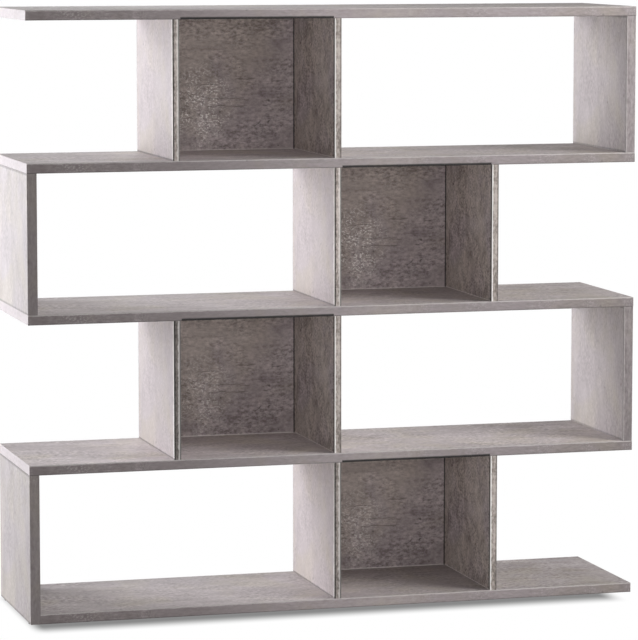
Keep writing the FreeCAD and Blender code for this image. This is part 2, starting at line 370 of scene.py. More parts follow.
class Sheet:
    """A node tree being drawn: each call places a node, and a socket given as a value is linked."""

    def __init__(self, tree):
        self.tree = tree

    def place(self, kind, values=None, **settings):
        """A new node with its settings, and values by the name or number of an input."""
        node = self.tree.nodes.new(kind)
        for name, value in settings.items():
            setattr(node, name, value)
        for name, value in (values or {}).items():
            self.feed(node.inputs[name], value)
        return node

    def feed(self, socket, value):
        """Links a socket to an input, or sets the input to a value."""
        if isinstance(value, bpy.types.NodeSocket):
            self.tree.links.new(value, socket)
        else:
            socket.default_value = value

    def math(self, operation, first, second=0.0, third=0.0, clamp=False):
        """Result of a Math node."""
        values = {0: first, 1: second, 2: third}
        return self.place("ShaderNodeMath", values, operation=operation, use_clamp=clamp).outputs[0]

    def vector(self, operation, first, second=(0.0, 0.0, 0.0)):
        """A Vector Math node, whose result is a vector or a value."""
        values = {0: first, 1: second}
        return self.place("ShaderNodeVectorMath", values, operation=operation)

    def bump(self, height, strength, relief):
        """Normal of a relief that is so deep where the height goes from zero to one."""
        values = {"Strength": strength, "Distance": relief, "Height": height}
        return self.place("ShaderNodeBump", values).outputs[0]

    def noise(self, place, scale, detail=2.0, roughness=0.5, distortion=0.0):
        """Noise about one half, with so many bumps in a unit of the place."""
        values = {"Vector": place, "Scale": scale, "Detail": detail,
                  "Roughness": roughness, "Distortion": distortion}
        return self.place("ShaderNodeTexNoise", values).outputs[0]

    def step(self, value, low, high, start=0.0, end=1.0):
        """Smooth step: start below low, end above high."""
        values = {0: value, 1: low, 2: high, 3: start, 4: end}
        return self.place("ShaderNodeMapRange", values, interpolation_type="SMOOTHSTEP").outputs[0]

    def blend(self, share, first, second, mode="MIX"):
        """Mix of two colours, at the Mix node's sockets for colours."""
        values = {0: share, 6: first, 7: second}
        return self.place("ShaderNodeMix", values, data_type="RGBA", blend_type=mode).outputs[2]


def new_group(name, inputs, outputs):
    """A shader node group with (label, kind, default) inputs and (label, kind) outputs."""
    tree = bpy.data.node_groups.new(name, "ShaderNodeTree")
    for label, kind, default in inputs:
        socket = tree.interface.new_socket(label, in_out="INPUT", socket_type="NodeSocket" + kind)
        socket.default_value = default
    for label, kind in outputs:
        tree.interface.new_socket(label, in_out="OUTPUT", socket_type="NodeSocket" + kind)
    sheet = Sheet(tree)
    given = sheet.place("NodeGroupInput").outputs
    result = sheet.place("NodeGroupOutput").inputs
    return tree, sheet, given, result


def concrete_print_group():
    """Printed concrete. Tone is one half plus clouds, mottle and grain, each a noise about one half
    times its own strength, plus broad bands, a cosine along X, plus the place times a slope. The
    grain, and still more the mottle, is drawn out along X, and the grain is thinned in patches. The
    colour runs from dark to light with the tone, and patches of warm and cool tint are multiplied
    over it, which the warmth and the place times its own slope make warmer."""
    cloud_scale, mottle_scale, grain_scale, patch_scale, tint_scale = 3.4, 30.0, 170.0, 11.0, 6.5
    patch_range, thinned, thickened = (0.38, 0.62), 0.5, 1.3
    tint_range = (0.36, 0.64)
    mottle_draw = (0.6, 1.0, 1.0)
    patch_shift = (3.1, 1.7, 5.3)
    light_band_length = 1.75
    middle = 0.5
    tree, sheet, given, result = new_group(
        "concrete_print",
        [("Vector", "Vector", (0.0, 0.0, 0.0)), ("Clouds", "Float", 0.5), ("Mottle", "Float", 0.8),
         ("Grain", "Float", 0.8), ("Bands", "Float", 0.0), ("Band Middle", "Float", 0.0),
         ("Slope", "Vector", (0.0, 0.0, 0.0)), ("Draw", "Float", 0.6), ("Warmth", "Float", 0.0),
         ("Warm Slope", "Vector", (0.0, 0.0, 0.0)), ("Light", "Color", WHITE),
         ("Dark", "Color", WHITE), ("Warm", "Color", WHITE), ("Cool", "Color", WHITE)],
        [("Color", "Color"), ("Tone", "Float")])
    place = given["Vector"]
    draw = sheet.place("ShaderNodeCombineXYZ", {0: given["Draw"], 1: 1.0, 2: 1.0}).outputs[0]
    long = sheet.vector("MULTIPLY", place, draw).outputs[0]
    longer = sheet.vector("MULTIPLY", long, mottle_draw).outputs[0]
    apart = sheet.vector("ADD", place, patch_shift).outputs[0]
    thin = sheet.step(sheet.noise(apart, patch_scale), *patch_range, thinned, thickened)
    layers = {
        "Clouds": sheet.noise(place, cloud_scale, distortion=0.8),
        "Mottle": sheet.noise(longer, mottle_scale, detail=7.0, roughness=0.7, distortion=0.4),
        "Grain": sheet.noise(long, grain_scale, roughness=0.6),
    }
    strengths = {"Clouds": given["Clouds"], "Mottle": given["Mottle"],
                 "Grain": sheet.math("MULTIPLY", given["Grain"], thin)}
    # Painted light and shade: the broad light bands along X and the slope of the tone.
    along = sheet.place("ShaderNodeSeparateXYZ", {0: place}).outputs[0]
    along = sheet.math("SUBTRACT", along, given["Band Middle"])
    turn = sheet.math("MULTIPLY", along, 2 * math.pi / light_band_length)
    tone = sheet.math("MULTIPLY_ADD", sheet.math("COSINE", turn), given["Bands"], middle)
    tone = sheet.math("ADD", tone, sheet.vector("DOT_PRODUCT", place, given["Slope"]).outputs["Value"])
    for label, layer in layers.items():
        swing = sheet.math("SUBTRACT", layer, middle)
        tone = sheet.math("MULTIPLY_ADD", swing, strengths[label], tone)
    tone = sheet.math("ADD", tone, 0.0, clamp=True)
    warmth = sheet.vector("DOT_PRODUCT", place, given["Warm Slope"]).outputs["Value"]
    warmth = sheet.math("ADD", warmth, given["Warmth"])
    patches = sheet.noise(apart, tint_scale, detail=3.0, roughness=0.55, distortion=0.5)
    patches = sheet.math("SUBTRACT", patches, warmth)
    tint = sheet.blend(sheet.step(patches, *tint_range), given["Warm"], given["Cool"])
    base = sheet.blend(tone, given["Dark"], given["Light"])
    sheet.feed(result["Color"], sheet.blend(1.0, base, tint, "MULTIPLY"))
    sheet.feed(result["Tone"], tone)
    return tree


def pits_group():
    """Air pits. Random points about a spacing apart; two in five carry a pit, whose mask falls
    from one to zero at its own random radius, a share of the spacing."""
    without_pit, radius_share, rim = 0.6, 0.42, 0.05
    tree, sheet, given, result = new_group(
        "air_pits",
        [("Vector", "Vector", (0.0, 0.0, 0.0)), ("Per Metre", "Float", 38.0)],
        [("Mask", "Float")])
    cells = sheet.place("ShaderNodeTexVoronoi", {"Vector": given["Vector"], "Scale": given["Per Metre"]})
    chance = sheet.place("ShaderNodeSeparateColor", {0: cells.outputs["Color"]}).outputs[0]
    radius = sheet.math("MULTIPLY", sheet.math("SUBTRACT", chance, without_pit), radius_share)
    depth = sheet.math("SUBTRACT", radius, cells.outputs["Distance"])
    sheet.feed(result["Mask"], sheet.step(depth, 0.0, rim))
    return tree


def mark_group():
    """A mark in the XZ plane. Across, the mask falls from one to zero over half the width, about a
    line with the slope that a noise makes uneven; along, it falls off over the outer half."""
    waver_scale, waver_widths = 45.0, 4.0
    tree, sheet, given, result = new_group(
        "print_mark",
        [("Vector", "Vector", (0.0, 0.0, 0.0)), ("Middle", "Vector", (0.0, 0.0, 0.0)),
         ("Half Length", "Float", 0.03), ("Half Width", "Float", 0.002), ("Slope", "Float", 0.0)],
        [("Mask", "Float")])
    offset = sheet.vector("SUBTRACT", given["Vector"], given["Middle"]).outputs[0]
    right, _, up = sheet.place("ShaderNodeSeparateXYZ", {0: offset}).outputs
    rise = sheet.math("SUBTRACT", up, sheet.math("MULTIPLY", right, given["Slope"]))
    waver = sheet.math("SUBTRACT", sheet.noise(given["Vector"], waver_scale, detail=1.0), 0.5)
    waver = sheet.math("MULTIPLY", waver, given["Half Width"])
    across = sheet.math("ABSOLUTE", sheet.math("MULTIPLY_ADD", waver, waver_widths, rise))
    along = sheet.math("DIVIDE", sheet.math("ABSOLUTE", right), given["Half Length"])
    line = sheet.step(across, 0.0, given["Half Width"], 1.0, 0.0)
    sheet.feed(result["Mask"], sheet.math("MULTIPLY", line, sheet.step(along, 0.5, 1.0, 1.0, 0.0)))
    return tree


def soft_spot_group():
    """A soft oval spot: with the offset from its middle divided by its reach in each direction, the
    mask falls from one to zero as the length goes from that of its core to one."""
    core = 0.33
    tree, sheet, given, result = new_group(
        "soft_spot",
        [("Vector", "Vector", (0.0, 0.0, 0.0)), ("Middle", "Vector", (0.0, 0.0, 0.0)),
         ("Reach", "Vector", (1.0, 1.0, 1.0))],
        [("Mask", "Float")])
    offset = sheet.vector("SUBTRACT", given["Vector"], given["Middle"]).outputs[0]
    share = sheet.vector("DIVIDE", offset, given["Reach"]).outputs[0]
    far = sheet.vector("LENGTH", share).outputs["Value"]
    sheet.feed(result["Mask"], sheet.step(far, core, 1.0, 1.0, 0.0))
    return tree


def scuffs_group():
    """Scuffs. The tops of a fine noise drawn out along X, kept where a broad noise is high, so that
    they cluster; flecks are the same tops, kept by a less broad noise."""
    fine_scale, broad_scale, ragged_scale = 215.0, 7.0, 32.0
    top_range, broad_range, ragged_range = (0.5, 0.61), (0.48, 0.64), (0.36, 0.56)
    draw = (0.7, 1.0, 1.0)
    tree, sheet, given, result = new_group(
        "scuffs",
        [("Vector", "Vector", (0.0, 0.0, 0.0))],
        [("Mask", "Float"), ("Flecks", "Float")])
    long = sheet.vector("MULTIPLY", given["Vector"], draw).outputs[0]
    tops = sheet.step(sheet.noise(long, fine_scale, roughness=0.7), *top_range)
    broad = sheet.step(sheet.noise(given["Vector"], broad_scale), *broad_range)
    ragged = sheet.noise(given["Vector"], ragged_scale, detail=3.0, roughness=0.6)
    ragged = sheet.step(ragged, *ragged_range)
    sheet.feed(result["Mask"], sheet.math("MULTIPLY", tops, broad))
    sheet.feed(result["Flecks"], sheet.math("MULTIPLY", tops, ragged))
    return tree


def side_line_group():
    """A line along chosen sides of a board. The distance to a side is half the size, plus or less
    the offset from the centre, and a far step more where the side is not chosen. The smallest of
    the six, over the width of the line and with a noise about zero added, is how far out a point
    lies; the mask falls from one to zero as that goes from one half to one."""
    rub_scale = 60.0
    tree, sheet, given, result = new_group(
        "side_line",
        [("Vector", "Vector", (0.0, 0.0, 0.0)), ("Centre", "Vector", (0.0, 0.0, 0.0)),
         ("Half Size", "Vector", (1.0, 1.0, 1.0)), ("Far Low", "Vector", (0.0, 0.0, 0.0)),
         ("Far High", "Vector", (0.0, 0.0, 0.0)), ("Width", "Float", 0.003), ("Uneven", "Float", 0.0)],
        [("Mask", "Float")])
    offset = sheet.vector("SUBTRACT", given["Vector"], given["Centre"]).outputs[0]
    low = sheet.vector("ADD", given["Half Size"], offset).outputs[0]
    high = sheet.vector("SUBTRACT", given["Half Size"], offset).outputs[0]
    low = sheet.vector("ADD", low, given["Far Low"]).outputs[0]
    high = sheet.vector("ADD", high, given["Far High"]).outputs[0]
    nearer = sheet.vector("MINIMUM", low, high).outputs[0]
    first, second, third = sheet.place("ShaderNodeSeparateXYZ", {0: nearer}).outputs
    nearest = sheet.math("MINIMUM", sheet.math("MINIMUM", first, second), third)
    rub = sheet.noise(given["Vector"], rub_scale, detail=3.0, roughness=0.6)
    rub = sheet.math("SUBTRACT", rub, 0.5)
    share = sheet.math("DIVIDE", nearest, given["Width"])
    out = sheet.math("MULTIPLY_ADD", rub, given["Uneven"], share)
    sheet.feed(result["Mask"], sheet.step(out, 0.5, 1.0, 1.0, 0.0))
    return tree


class Groups:
    """The shared node groups, each built on first use."""

    made = {}
    makers = {
        "print": concrete_print_group,
        "pits": pits_group,
        "mark": mark_group,
        "spot": soft_spot_group,
        "scuffs": scuffs_group,
        "line": side_line_group,
    }

    @classmethod
    def get(cls, label):
        if label not in cls.made:
            cls.made[label] = cls.makers[label]()
        return cls.made[label]


def add_object(name, data):
    """A new object in the scene's own collection."""
    added = bpy.data.objects.new(name, data)
    bpy.context.scene.collection.objects.link(added)
    return added


def opaque(color, strength=1.0):
    """A colour times a strength, with full alpha."""
    return (*(min(1.0, part * strength) for part in color), 1.0)


def blank_material(name):
    """A material with an empty node tree, and its sheet."""
    material = bpy.data.materials.new(name)
    material.use_nodes = True
    material.node_tree.nodes.clear()
    return material, Sheet(material.node_tree)


def new_material(name):
    """A material with a Principled shader, its sheet and its Object coordinates."""
    material, sheet = blank_material(name)
    shader = sheet.place("ShaderNodeBsdfPrincipled")
    sheet.place("ShaderNodeOutputMaterial", {"Surface": shader.outputs[0]})
    place = sheet.place("ShaderNodeTexCoord").outputs["Object"]
    return material, sheet, shader.inputs, place


def with_group(sheet, label, values):
    """Outputs of a shared group placed with its own values."""
    return sheet.place("ShaderNodeGroup", values, node_tree=Groups.get(label)).outputs


def whole_board(board):
    """Centre and half size of a board together with its edging."""
    names = [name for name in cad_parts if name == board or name.startswith(board + "_")]
    corners = np.array([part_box(name) for name in names])
    low = corners[:, 0].min(axis=0)
    high = corners[:, 1].max(axis=0)
    return (low + high) / 2, (high - low) / 2


def cubes_under(board):
    """Centres and half sizes of the back panels that end at the underside of a board, to within half
    their thickness."""
    centre, half = whole_board(board)
    boxes = [whole_board(name) for name in UPPER_BACKS + LOWER_BACKS]
    foot = centre[2] - half[2]
    return [(middle, reach) for middle, reach in boxes if abs(middle[2] + reach[2] - foot) < reach[1]]


def side_line(sheet, place, box, sides, width, uneven):
    """Mask of a line along the named sides of a box given as centre and half size."""
    far = np.full((2, 3), FAR_OFF)
    for side in sides:
        far[SIDES[side]] = 0.0
    centre, half = box
    return with_group(sheet, "line", {
        "Vector": place, "Centre": centre, "Half Size": half, "Far Low": far[0], "Far High": far[1],
        "Width": width, "Uneven": uneven})["Mask"]


def flecks_and_marks(sheet, local, scuffs, look, colors, color):
    """The print of a back panel with its flecked spot, and with each dark mark in its place."""
    pit_color, fleck_and_highlight_color = opaque(colors.pit), opaque(colors.worn)
    spot = with_group(sheet, "spot", {"Vector": local, "Middle": FLECK_SPOT, "Reach": FLECK_REACH})
    flecks = sheet.math("MULTIPLY", scuffs["Flecks"], spot["Mask"])
    color = sheet.blend(sheet.math("MULTIPLY", flecks, look.flecks), color, fleck_and_highlight_color)
    for mark in MARKS:
        line = with_group(sheet, "mark", {
            "Vector": local, "Middle": (mark.right, 0.0, mark.up), "Half Length": mark.half_length,
            "Half Width": mark.half_width, "Slope": mark.slope})
        color = sheet.blend(sheet.math("MULTIPLY", line["Mask"], look.marks), color, pit_color)
    return color


def edge_lines(sheet, place, board, look, colors, color):
    """The print of a board with the pale worn line and the dark joint line along its sides, and a
    dark line along its foot over each cube."""
    box = whole_board(board)
    joint_and_shade_color, fleck_and_highlight_color = opaque(colors.gap), opaque(colors.worn)
    # Painted highlight: a pale line along the sides that catch the light.
    if look.wear:
        worn = side_line(sheet, place, box, look.worn_sides, look.wear_width, HIGHLIGHT_UNEVEN)
        color = sheet.blend(sheet.math("MULTIPLY", worn, look.wear), color, fleck_and_highlight_color)
    # Dark line along joints, partly painted shade in the gap or corner beside them.
    if look.joint:
        joint = side_line(sheet, place, box, look.joint_sides, look.joint_width, JOINT_SHADE_UNEVEN)
        color = sheet.blend(sheet.math("MULTIPLY", joint, look.joint), color, joint_and_shade_color)
    # Painted shade: a dark line along the foot of the board over each cube.
    for cube in cubes_under(board) if look.shade else ():
        outside = side_line(sheet, place, cube, ("left", "right"), look.joint_width, 0.0)
        inside = sheet.math("MULTIPLY_ADD", outside, -look.shade, look.shade)
        foot = side_line(sheet, place, box, ("foot",), look.shade_width, JOINT_SHADE_UNEVEN)
        color = sheet.blend(sheet.math("MULTIPLY", foot, inside), color, joint_and_shade_color)
    return color


def laminate(name, board, look, tone, colors):
    """Material of one board or its edging: the print, centred on the board and turned so that its
    length runs along the board, then scuffs, flecks, marks and pits, then the lines along its
    sides. The print is pressed in, and rougher where it is dark."""
    centre, _ = whole_board(board)
    material, sheet, shader, place = new_material(name)
    turn = Euler((0.0, QUARTER_TURN if look.upright else 0.0, 0.0))
    shift = turn.to_matrix() @ Vector(-centre)
    local = sheet.place("ShaderNodeMapping", {"Vector": place, "Location": shift, "Rotation": turn})
    local = local.outputs[0]
    pit_color, scuff_color = opaque(colors.pit), opaque(colors.scuff)
    printed = with_group(sheet, "print", {
        "Vector": local, "Clouds": look.clouds, "Mottle": look.mottle, "Grain": look.grain,
        "Bands": look.light_bands, "Band Middle": look.light_band_middle, "Slope": look.slope,
        "Draw": look.draw, "Warmth": look.warmth, "Warm Slope": look.warm_slope,
        "Light": opaque(np.multiply(colors.light, look.tint), tone),
        "Dark": opaque(np.multiply(colors.dark, look.tint), tone),
        "Warm": opaque(colors.warm), "Cool": opaque(colors.cool)})
    color = printed["Color"]
    scuffs = with_group(sheet, "scuffs", {"Vector": local})
    color = sheet.blend(sheet.math("MULTIPLY", scuffs["Mask"], look.scuffs), color, scuff_color)
    if look.marks:
        color = flecks_and_marks(sheet, local, scuffs, look, colors, color)
    pits = with_group(sheet, "pits", {"Vector": local})["Mask"]
    color = sheet.blend(sheet.math("MULTIPLY", pits, look.pits), color, pit_color)
    sheet.feed(shader["Base Color"], edge_lines(sheet, place, board, look, colors, color))
    shader["Specular IOR Level"].default_value = colors.gloss
    depth = printed["Tone"]
    sheet.feed(shader["Roughness"], sheet.step(depth, 0.0, 1.0, colors.rough, colors.smooth))
    height = sheet.math("SUBTRACT", depth, pits)
    sheet.feed(shader["Normal"], sheet.bump(height, PRESSED_STRENGTH, colors.relief))
    return material


def dress(node, material):
    """Gives every material slot of a CAD node the new material."""
    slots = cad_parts[node].material_slots
    if not slots:
        raise RuntimeError(f"node {node} has no material slot")
    for slot in slots:
        slot.material = material


def dress_boards(boards, face_look, edge_look, colors):
    """Laminate on every board of a kind, and edging in the same print."""
    for board in boards:
        tone = face_look.tone * FACE_PAINTED_LIGHT.get(board, 1.0)
        dress(board, laminate(board + "_laminate", board, face_look, tone, colors))
        strips = [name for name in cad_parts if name.startswith(board + "_")]
        if not strips:
            continue
        tone = edge_look.tone * EDGE_PAINTED_LIGHT.get(board, 1.0)
        edging = laminate(board + "_edging_print", board, edge_look, tone, colors)
        for strip in strips:
            dress(strip, edging)


def metal(name, look):
    """Plated or cast metal: colour and roughness each spread evenly about a value by a noise."""
    blotch_range, strength = (0.3, 0.7), 0.3
    material, sheet, shader, place = new_material(name)
    blotches = sheet.noise(place, look.scale, detail=4.0, roughness=0.6)
    dim = opaque(look.color, 1.0 - look.color_spread)
    bright = opaque(look.color, 1.0 + look.color_spread)
    sheet.feed(shader["Base Color"], sheet.blend(sheet.step(blotches, *blotch_range), dim, bright))
    shader["Metallic"].default_value = 1.0
    smooth = look.roughness - look.roughness_spread
    rough = look.roughness + look.roughness_spread
    sheet.feed(shader["Roughness"], sheet.step(blotches, *blotch_range, smooth, rough))
    sheet.feed(shader["Normal"], sheet.bump(blotches, strength, FINE_RELIEF))
    return material


def moulded_plastic(name, light, dark, roughness):
    """Moulded plastic: a fine spark-eroded grain in the colour, the roughness and the relief."""
    grain_scale, cloud_scale, grain_share, roughness_spread = 900.0, 60.0, 0.6, 0.08
    tone_range, rough_range = (0.35, 0.65), (0.3, 0.7)
    material, sheet, shader, place = new_material(name)
    grain = sheet.noise(place, grain_scale, detail=3.0, roughness=0.6)
    cloud = sheet.noise(place, cloud_scale)
    mixed = sheet.math("MULTIPLY_ADD", sheet.math("SUBTRACT", grain, cloud), grain_share, cloud)
    tone = sheet.step(mixed, *tone_range)
    sheet.feed(shader["Base Color"], sheet.blend(tone, opaque(dark), opaque(light)))
    rough, smooth = roughness + roughness_spread, roughness - roughness_spread
    sheet.feed(shader["Roughness"], sheet.step(grain, *rough_range, rough, smooth))
    sheet.feed(shader["Normal"], sheet.bump(grain, FINE_STRENGTH, FINE_RELIEF))
    return material


def beech(name):
    """Beech turned across its growth: streaks of a noise stretched along the dowel, read from the
    dowel's own lengths, with short darker ray flecks."""
    pale, brown, fleck = (0.62, 0.43, 0.27), (0.47, 0.30, 0.17), (0.28, 0.16, 0.085)
    streak_scale, ray_scale, ray_strength = (700.0, 700.0, 45.0), (1500.0, 1500.0, 260.0), 0.7
    streak_range, ray_range, rough_range = (0.35, 0.65), (0.6, 0.72), (0.3, 0.7)
    rough, smooth = 0.68, 0.55
    material, sheet, shader, _ = new_material(name)
    own = sheet.place("ShaderNodeAttribute", attribute_name=OWN_PLACE).outputs["Vector"]
    along = sheet.vector("MULTIPLY", own, streak_scale).outputs[0]
    streaks = sheet.noise(along, 1.0, detail=3.0, roughness=0.6)
    rays = sheet.noise(sheet.vector("MULTIPLY", own, ray_scale).outputs[0], 1.0, detail=1.0)
    color = sheet.blend(sheet.step(streaks, *streak_range), opaque(brown), opaque(pale))
    color = sheet.blend(sheet.step(rays, *ray_range, 0.0, ray_strength), color, opaque(fleck))
    sheet.feed(shader["Base Color"], color)
    sheet.feed(shader["Roughness"], sheet.step(streaks, *rough_range, rough, smooth))
    sheet.feed(shader["Normal"], sheet.bump(streaks, FINE_STRENGTH, FINE_RELIEF))
    return material


# Turned fittings

def solid_boxes(node):
    """Boxes of the separate solids in a node, as an array (solid, low or high, xyz). Corners at one
    point are made one; the lowest corner number then spreads over each face until nothing changes,
    which leaves one number for each solid."""
    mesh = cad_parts[node].data
    points = np.empty(len(mesh.vertices) * 3)
    mesh.vertices.foreach_get("co", points)
    corners = np.empty(len(mesh.loops), dtype=np.int64)
    mesh.loops.foreach_get("vertex_index", corners)
    spots, same = np.unique(np.round(points.reshape(-1, 3), 7), axis=0, return_inverse=True)
    faces = same.reshape(-1)[corners].reshape(-1, 3)
    label = np.arange(len(spots))
    while True:
        spread = label.copy()
        np.minimum.at(spread, faces, label[faces].min(axis=1)[:, None])
        if np.array_equal(spread, label):
            break
        label = spread
    solids = [spots[label == number] for number in np.unique(label)]
    return np.array([(solid.min(axis=0), solid.max(axis=0)) for solid in solids])


def sorted_sides(boxes):
    """Sides of the first box, the smallest first; the boxes of like fittings are alike."""
    return np.sort(boxes[0, 1] - boxes[0, 0])


def one_axis(steps):
    """Unit vectors along the largest part of each step, with its sign."""
    largest = np.abs(steps).argmax(axis=1)
    return np.eye(3)[largest] * np.sign(np.take_along_axis(steps, largest[:, None], axis=1))


def away_from(boxes, others, lengthwise):
    """For each box, the unit vector along its longest (or thinnest) side that leads away from the
    nearest of the other boxes."""
    middles = boxes.mean(axis=1)
    other_middles = others.mean(axis=1)
    gaps = middles[:, None] - other_middles[None]
    nearest = np.linalg.norm(gaps, axis=2).argmin(axis=1)
    sides = boxes[:, 1] - boxes[:, 0]
    chosen = sides.argmax(axis=1) if lengthwise else sides.argmin(axis=1)
    return one_axis(np.eye(3)[chosen] * gaps[np.arange(len(boxes)), nearest])


def stand(template, boxes, axes):
    """Copies of a template, whose own Z runs from zero along each axis, set into the boxes. The
    other two directions are the axis with its parts moved round one place, and their cross."""
    across = np.roll(axes, 1, axis=1)
    bases = np.stack([across, np.cross(axes, across), axes], axis=1)
    middles = boxes.mean(axis=1)
    reach = np.abs(((boxes[:, 1] - boxes[:, 0]) * axes).sum(axis=1, keepdims=True)) / 2
    starts = middles - axes * reach
    return np.einsum("rsk,nkj->nrsj", template, bases) + starts[:, None, None, :]


def turned_grid(radius, height, sides):
    """Surface of revolution on a grid (ring, side, xyz): (radius cos angle, radius sin angle, height)
    with the angle in equal steps. The radius may change with the angle too."""
    angle = np.linspace(0.0, 2 * np.pi, sides, endpoint=False)
    radius = radius if np.ndim(radius) == 2 else radius[:, None]
    level = np.broadcast_to(height[:, None], (len(height), sides))
    return np.stack([radius * np.cos(angle), radius * np.sin(angle), level], axis=-1)


def closed_tubes(name, grids, own):
    """One mesh of many tubes given as (tube, ring, side, xyz): each ring joins the next, the last
    side joins the first, and a fan to the middle closes each end. The tube's own place, before it
    is set in the bookcase, goes along as an attribute."""
    count, rings, sides = grids.shape[:3]
    index = np.arange(count * rings * sides).reshape(count, rings, sides)
    beside = np.roll(index, -1, axis=2)
    walls = np.stack([index[:, :-1], beside[:, :-1], beside[:, 1:], index[:, 1:]], axis=-1)
    poles = index.size + np.arange(2 * count).reshape(2, count, 1)
    poles = np.broadcast_to(poles, (2, count, sides))
    starts = np.stack([beside[:, 0], index[:, 0], poles[0]], axis=-1)
    ends = np.stack([index[:, -1], beside[:, -1], poles[1]], axis=-1)
    fans = np.concatenate([starts.reshape(-1, 3), ends.reshape(-1, 3)])
    faces = walls.reshape(-1, 4).tolist() + fans.tolist()

    def with_poles(values):
        """The values in a row, then those of the poles, each the mean of its ring."""
        first, last = values[:, 0].mean(axis=1), values[:, -1].mean(axis=1)
        return np.concatenate([values.reshape(-1, 3), first, last])

    mesh = bpy.data.meshes.new(name)
    mesh.from_pydata(with_poles(grids).tolist(), [], faces)
    places = mesh.attributes.new(OWN_PLACE, "FLOAT_VECTOR", "POINT")
    places.data.foreach_set("vector", with_poles(own).astype(np.float32).ravel())
    mesh.shade_smooth()
    return mesh


def add_fittings(name, node, template, boxes, axes, material, sharp_angle):
    """Stands a template in every box as one piece that takes the place of the CAD node."""
    steps = np.arange(len(boxes))[:, None, None, None]
    own = template[None] + steps * np.array(GRAIN_STEP)
    mesh = closed_tubes(name, stand(template, boxes, axes), own)
    mesh.set_sharp_from_angle(angle=sharp_angle)
    mesh.materials.append(material)
    piece = add_object(name, mesh)
    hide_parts(node)
    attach(piece, BODY)
    return piece


def cap_template(diameter, thickness, rim):
    """Cover cap: a straight rim, then a shallow dome whose height falls with the square of the
    radius. The foot of the rim is eased."""
    sides, eased, ease_height = 40, 0.98, 0.2
    shares = np.array((1.0, 0.97, 0.9, 0.75, 0.5, 0.25, 0.06))
    dome = rim + (thickness - rim) * (1.0 - shares ** 2)
    radius = np.concatenate([(eased, 1.0), shares]) * diameter / 2
    height = np.concatenate([(0.0, rim * ease_height), dome])
    return turned_grid(radius, height, sides)


def bolt_template(length, shank_diameter, sizes):
    """Cam bolt from its head to the end of its thread: head, neck, shank and thread, with eased
    steps. Over the thread the radius is the core plus the depth times a saw-tooth of height over
    pitch less angle over a full turn, fading out at both ends."""
    sides, thread_rings, fade_parts = 24, 48, 8.0
    ease = 0.0004
    head, neck = sizes.bolt_head_diameter / 2, sizes.bolt_neck_diameter / 2
    shank, core = shank_diameter / 2, sizes.thread_diameter / 2 - sizes.thread_depth
    neck_start = sizes.bolt_head_length
    shank_start = neck_start + sizes.bolt_neck_length
    thread_start = length - sizes.thread_length
    plain = np.array([
        (head - ease, 0.0), (head, ease), (head, neck_start - ease), (head - ease, neck_start),
        (neck, neck_start), (neck, shank_start), (shank - ease, shank_start),
        (shank, shank_start + ease), (shank, thread_start - ease), (shank - ease, thread_start),
        (core, thread_start)])
    climb = np.linspace(thread_start, length - ease, thread_rings)
    angle = np.linspace(0.0, 1.0, sides, endpoint=False)
    phase = np.mod(climb[:, None] / sizes.thread_pitch - angle[None], 1.0)
    tooth = 1.0 - np.abs(2.0 * phase - 1.0)
    run = (climb - thread_start) / (climb[-1] - thread_start)
    fade = np.clip(np.minimum(run, 1.0 - run) * fade_parts, 0.0, 1.0)[:, None]
    threaded = core + sizes.thread_depth * tooth * fade
    tip = np.full((1, sides), core - ease)
    radius = np.concatenate([np.repeat(plain[:, :1], sides, axis=1), threaded, tip])
    height = np.concatenate([plain[:, 1], climb, (length,)])
    return turned_grid(radius, height, sides)


def dowel_template(length, diameter, sizes):
    """Fluted dowel: the radius less the flute depth times the fourth power of a raised cosine of
    the flute count times the angle, with a straight bevel at both ends."""
    sides_to_a_flute, bevel_depth = 6, 0.5
    sides = sizes.flute_count * sides_to_a_flute
    angle = np.linspace(0.0, 2 * np.pi, sides, endpoint=False)
    flute = (0.5 + 0.5 * np.cos(sizes.flute_count * angle)) ** 4
    bevel = sizes.dowel_chamfer
    height = np.array((0.0, bevel, bevel * 2, length / 2, length - bevel * 2, length - bevel, length))
    ends = np.zeros_like(height)
    ends[[0, -1]] = bevel * bevel_depth
    radius = diameter / 2 - ends[:, None] - sizes.flute_depth * flute[None]
    return turned_grid(radius, height, sides)


# Studio

class Lamp(NamedTuple):
    """A soft rectangular lamp: where it stands, what it faces, how large it is, the setting that
    holds its power, and its colour."""

    name: str
    place: tuple
    aim: tuple
    width: float
    height: float
    power: str
    color: tuple = (1.0, 1.0, 1.0)


LAMPS = (
    Lamp("side_lamp", (-3.0, 2.0, 1.45), (0.0, 0.0, 0.8), 2.0, 2.4, "side_power", (0.94, 0.96, 1.0)),
    Lamp("right_lamp", (2.2, -1.4, 1.9), (0.4, -0.2, 1.3), 1.2, 1.2, "right_power"),
    Lamp("left_lamp", (-4.2, -5.0, 0.9), (0.0, 0.0, 0.7), 2.0, 1.5, "left_power"),
    Lamp("front_lamp", (2.4, -6.0, 1.2), (0.0, 0.0, 0.8), 2.0, 1.5, "front_power"),
    Lamp("top_lamp", (0.0, -3.0, 3.6), (0.0, 0.0, 0.6), 2.0, 1.0, "top_power"),
    Lamp("middle_lamp", (-1.4, -6.0, 1.5), (0.0, 0.0, 0.8), 2.0, 1.5, "middle_power"),
    Lamp("back_lamp", (-0.6, 3.2, 2.6), (0.0, 0.0, 0.8), 2.5, 1.2, "back_power"),
)


def background_rays(sheet):
    """One for rays that show the background: from the camera, mirrored by the object or let through."""
    path = sheet.place("ShaderNodeLightPath").outputs
    seen = sheet.math("MAXIMUM", path["Is Camera Ray"], path["Is Glossy Ray"])
    return sheet.math("MAXIMUM", seen, path["Is Transmission Ray"])


